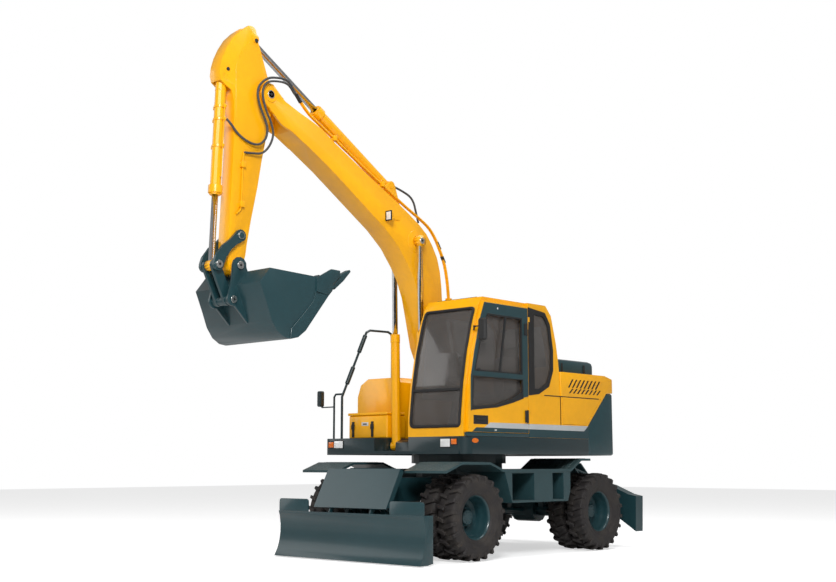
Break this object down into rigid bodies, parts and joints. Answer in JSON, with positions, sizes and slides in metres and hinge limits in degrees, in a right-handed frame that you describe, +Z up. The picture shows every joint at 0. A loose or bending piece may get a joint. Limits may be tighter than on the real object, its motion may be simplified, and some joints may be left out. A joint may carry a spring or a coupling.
{
  "type": "wheeled excavator",
  "caption": "Excavator on twin-tyred wheels with a slewing upper body, cab, jointed boom, arm and bucket, a front dozer blade and rear stabiliser legs.",
  "frame": {"origin": "the middle of the footprint box, on the ground", "axes": "+X to the machine's left, the cab side; -Y forward, towards the blade and bucket; +Z up"},
  "size_m": [2.9, 6.778, 6.168],
  "materials": {
    "yellow_paint": "gloss orange-yellow paint",
    "teal_paint": "satin dark teal paint",
    "dark_panels": "satin near-black teal paint",
    "black_plastic": "matt black",
    "tyre_rubber": "dusty black rubber",
    "cylinder_paint": "satin dark teal paint",
    "chromed_rod": "polished",
    "tinted_glass": "tinted",
    "seat_fabric": "woven dark grey",
    "cast_parts": "painted casting",
    "rail_steel": "satin black paint"
  },
  "bodies": {
    "chassis": {"chassis_frame": "teal_paint", "front_axle": "cast_parts", "rear_axle": "cast_parts", "drive_line": "cast_parts", "fender_left": "teal_paint", "fender_right": "teal_paint"},
    "knuckle_left": {"knuckle_left": "cast_parts"},
    "knuckle_right": {"knuckle_right": "cast_parts"},
    "wheel_front_left": {"twin_tyres_front_left": "tyre_rubber", "twin_rims_front_left": "teal_paint"},
    "wheel_front_right": {"twin_tyres_front_right": "tyre_rubber", "twin_rims_front_right": "teal_paint"},
    "wheel_rear_left": {"twin_tyres_rear_left": "tyre_rubber", "twin_rims_rear_left": "teal_paint"},
    "wheel_rear_right": {"twin_tyres_rear_right": "tyre_rubber", "twin_rims_rear_right": "teal_paint"},
    "blade_arms": {"blade_arms": "teal_paint"},
    "blade": {"dozer_blade": "teal_paint"},
    "blade_cover": {"blade_cover": "teal_paint"},
    "blade_barrel": {"blade_cylinder_barrel": "cylinder_paint"},
    "blade_rod": {"blade_cylinder_rod": "chromed_rod"},
    "leg_left": {"stabiliser_leg_left": "teal_paint"},
    "leg_barrel_left": {"leg_cylinder_barrel_left": "cylinder_paint"},
    "leg_rod_left": {"leg_cylinder_rod_left": "chromed_rod"},
    "leg_right": {"stabiliser_leg_right": "teal_paint"},
    "leg_barrel_right": {"leg_cylinder_barrel_right": "cylinder_paint"},
    "leg_rod_right": {"leg_cylinder_rod_right": "chromed_rod"},
    "upper": {"upper_frame": "teal_paint", "counterweight": "teal_paint", "rear_body": "yellow_paint", "engine_block": "cast_parts", "right_tanks": "yellow_paint", "tool_box": "yellow_paint", "right_handrail": "rail_steel", "left_mirror": "black_plastic", "cab_shell": "yellow_paint", "windscreen": "tinted_glass", "right_glass": "tinted_glass", "quarter_glass": "tinted_glass", "rear_glass": "tinted_glass", "operator_seat": "seat_fabric"},
    "cab_door": {"cab_door": "yellow_paint", "door_glass": "tinted_glass"},
    "engine_hood": {"engine_hood": "dark_panels"},
    "service_door_left": {"service_door_left": "yellow_paint"},
    "service_door_right": {"service_door_right": "yellow_paint"},
    "tool_box_lid": {"tool_box_lid": "yellow_paint"},
    "boom": {"boom": "yellow_paint"},
    "boom_barrels": {"boom_cylinder_barrel_left": "yellow_paint", "boom_cylinder_barrel_right": "yellow_paint"},
    "boom_rods": {"boom_cylinder_rod_left": "chromed_rod", "boom_cylinder_rod_right": "chromed_rod"},
    "arm_barrel": {"arm_cylinder_barrel": "yellow_paint"},
    "arm_rod": {"arm_cylinder_rod": "chromed_rod"},
    "arm": {"arm": "yellow_paint"},
    "bucket_barrel": {"bucket_cylinder_barrel": "yellow_paint"},
    "bucket_rod": {"bucket_cylinder_rod": "chromed_rod"},
    "rocker": {"rocker_links": "teal_paint"},
    "bucket_link": {"bucket_link": "teal_paint"},
    "bucket": {"bucket": "teal_paint"}
  },
  "joints": [
    {"name": "slew", "type": "hinge", "parent": "chassis", "child": "upper", "pos_m": [0, 0.859, 1.266], "axis": [0, 0, 1], "continuous": true},
    {"name": "steering_left", "type": "hinge", "parent": "chassis", "child": "knuckle_left", "pos_m": [0.78, -0.221, 0.515], "axis": [0, 0, 1], "range_deg": [-24, 24]},
    {"name": "steering_right", "type": "hinge", "parent": "chassis", "child": "knuckle_right", "pos_m": [-0.78, -0.221, 0.515], "axis": [0, 0, 1], "range_deg": [-24, 24]},
    {"name": "wheel_front_left_spin", "type": "hinge", "parent": "knuckle_left", "child": "wheel_front_left", "pos_m": [0.955, -0.221, 0.515], "axis": [1, 0, 0], "continuous": true},
    {"name": "wheel_front_right_spin", "type": "hinge", "parent": "knuckle_right", "child": "wheel_front_right", "pos_m": [-0.955, -0.221, 0.515], "axis": [1, 0, 0], "continuous": true},
    {"name": "wheel_rear_left_spin", "type": "hinge", "parent": "chassis", "child": "wheel_rear_left", "pos_m": [0.955, 2.379, 0.515], "axis": [1, 0, 0], "continuous": true},
    {"name": "wheel_rear_right_spin", "type": "hinge", "parent": "chassis", "child": "wheel_rear_right", "pos_m": [-0.955, 2.379, 0.515], "axis": [1, 0, 0], "continuous": true},
    {"name": "blade_lift", "type": "hinge", "parent": "chassis", "child": "blade_arms", "pos_m": [0, -0.841, 0.62], "axis": [-1, 0, 0], "range_deg": [0, 42]},
    {"name": "blade_level", "type": "hinge", "parent": "blade_arms", "child": "blade", "pos_m": [0, -1.061, 0.2], "axis": [-1, 0, 0], "range_deg": [-42, 0]},
    {"name": "blade_cover_pivot", "type": "hinge", "parent": "chassis", "child": "blade_cover", "pos_m": [0, -0.901, 1.05], "axis": [-1, 0, 0], "range_deg": [0, 42]},
    {"name": "blade_cylinder_pivot", "type": "hinge", "parent": "chassis", "child": "blade_barrel", "pos_m": [0, -0.851, 0.64], "axis": [-1, 0, 0], "range_deg": [-0.5, 15.06]},
    {"name": "blade_cylinder_slide", "type": "slide", "parent": "blade_barrel", "child": "blade_rod", "axis": [0, -0.9373, 0.3485], "range_m": [-0.001, 0.2564]},
    {"name": "leg_swing_left", "type": "hinge", "parent": "chassis", "child": "leg_left", "pos_m": [0.33, 3.259, 0.75], "axis": [0, 1, 0], "range_deg": [0, 13]},
    {"name": "leg_cylinder_pivot_left", "type": "hinge", "parent": "chassis", "child": "leg_barrel_left", "pos_m": [0.12, 3.259, 1.08], "axis": [0, 1, 0], "range_deg": [-0.5, 7.41]},
    {"name": "leg_cylinder_slide_left", "type": "slide", "parent": "leg_barrel_left", "child": "leg_rod_left", "axis": [0.9448, 0, -0.3276], "range_m": [-0.001, 0.0525]},
    {"name": "leg_swing_right", "type": "hinge", "parent": "chassis", "child": "leg_right", "pos_m": [-0.33, 3.259, 0.75], "axis": [0, -1, 0], "range_deg": [0, 13]},
    {"name": "leg_cylinder_pivot_right", "type": "hinge", "parent": "chassis", "child": "leg_barrel_right", "pos_m": [-0.12, 3.259, 1.08], "axis": [0, -1, 0], "range_deg": [-0.5, 7.41]},
    {"name": "leg_cylinder_slide_right", "type": "slide", "parent": "leg_barrel_right", "child": "leg_rod_right", "axis": [-0.9448, 0, -0.3276], "range_m": [-0.001, 0.0525]},
    {"name": "cab_door_hinge", "type": "hinge", "parent": "upper", "child": "cab_door", "pos_m": [1.241, 0.778, 2.3], "axis": [0, 0, 1], "range_deg": [0, 90]},
    {"name": "engine_hood_hinge", "type": "hinge", "parent": "upper", "child": "engine_hood", "pos_m": [0, 2.629, 2.37], "axis": [-1, 0, 0], "range_deg": [0, 60]},
    {"name": "service_door_left_hinge", "type": "hinge", "parent": "upper", "child": "service_door_left", "pos_m": [1.2375, 1.514, 1.84], "axis": [0, 0, -1], "range_deg": [0, 100]},
    {"name": "service_door_right_hinge", "type": "hinge", "parent": "upper", "child": "service_door_right", "pos_m": [-1.2375, 1.514, 1.84], "axis": [0, 0, 1], "range_deg": [0, 100]},
    {"name": "tool_box_lid_hinge", "type": "hinge", "parent": "upper", "child": "tool_box_lid", "pos_m": [-0.665, 0.144, 1.8], "axis": [-1, 0, 0], "range_deg": [0, 80]},
    {"name": "boom_lift", "type": "hinge", "parent": "upper", "child": "boom", "pos_m": [0, 0.609, 1.85], "axis": [-1, 0, 0], "range_deg": [-75, 3]},
    {"name": "boom_cylinder_pivot", "type": "hinge", "parent": "upper", "child": "boom_barrels", "pos_m": [0, -0.111, 1.38], "axis": [-1, 0, 0], "range_deg": [-74.81, 3.47]},
    {"name": "boom_cylinder_slide", "type": "slide", "parent": "boom_barrels", "child": "boom_rods", "axis": [0, -0.0191, 0.9998], "range_m": [-1.0626, 0.0435]},
    {"name": "arm_swing", "type": "hinge", "parent": "boom", "child": "arm", "pos_m": [0, -2.646, 5.39], "axis": [1, 0, 0], "range_deg": [-95, 8]},
    {"name": "arm_cylinder_pivot", "type": "hinge", "parent": "boom", "child": "arm_barrel", "pos_m": [0, -0.561, 4.68], "axis": [1, 0, 0], "range_deg": [-5.2, 0.9]},
    {"name": "arm_cylinder_slide", "type": "slide", "parent": "arm_barrel", "child": "arm_rod", "axis": [0, -0.8605, 0.5095], "range_m": [-0.9844, 0.0838]},
    {"name": "bucket_curl", "type": "hinge", "parent": "arm", "child": "bucket", "pos_m": [0, -3.059, 3.328], "axis": [1, 0, 0], "range_deg": [-130, 15]},
    {"name": "rocker_pivot", "type": "hinge", "parent": "arm", "child": "rocker", "pos_m": [0, -3.019, 3.675], "axis": [1, 0, 0], "range_deg": [-100.22, 12.01]},
    {"name": "bucket_link_pivot", "type": "hinge", "parent": "rocker", "child": "bucket_link", "pos_m": [0, -3.322, 3.313], "axis": [1, 0, 0], "range_deg": [-8.19, 67.17]},
    {"name": "bucket_cylinder_pivot", "type": "hinge", "parent": "arm", "child": "bucket_barrel", "pos_m": [0, -3.246, 5.47], "axis": [1, 0, 0], "range_deg": [-5.69, 1.1]},
    {"name": "bucket_cylinder_slide", "type": "slide", "parent": "bucket_barrel", "child": "bucket_rod", "axis": [0, -0.0352, -0.9994], "range_m": [-0.7054, 0.0823]}
  ],
  "couplings": [
    {"joint": "steering_right", "follows": "steering_left", "ratio": 1},
    {"joint": "blade_level", "follows": "blade_lift", "ratio": -1},
    {"joint": "blade_cover_pivot", "follows": "blade_lift", "ratio": 1},
    {"joint": "blade_cylinder_pivot", "follows": "blade_lift", "ratio": 0.34656},
    {"joint": "blade_cylinder_slide", "follows": "blade_lift", "m_per_rad": 0.34839},
    {"joint": "leg_cylinder_pivot_left", "follows": "leg_swing_left", "ratio": 0.53147},
    {"joint": "leg_cylinder_slide_left", "follows": "leg_swing_left", "m_per_rad": 0.22719},
    {"joint": "leg_cylinder_pivot_right", "follows": "leg_swing_right", "ratio": 0.53147},
    {"joint": "leg_cylinder_slide_right", "follows": "leg_swing_right", "m_per_rad": 0.22719},
    {"joint": "boom_cylinder_pivot", "follows": "boom_lift", "ratio": 0.99079},
    {"joint": "boom_cylinder_slide", "follows": "boom_lift", "m_per_rad": 0.81102},
    {"joint": "arm_cylinder_pivot", "follows": "arm_swing", "ratio": 0.049423},
    {"joint": "arm_cylinder_slide", "follows": "arm_swing", "m_per_rad": 0.59313},
    {"joint": "rocker_pivot", "follows": "bucket_curl", "ratio": 0.76711},
    {"joint": "bucket_link_pivot", "follows": "bucket_curl", "ratio": -0.51289},
    {"joint": "bucket_cylinder_pivot", "follows": "bucket_curl", "ratio": 0.039916},
    {"joint": "bucket_cylinder_slide", "follows": "bucket_curl", "m_per_rad": 0.31044}
  ]
}
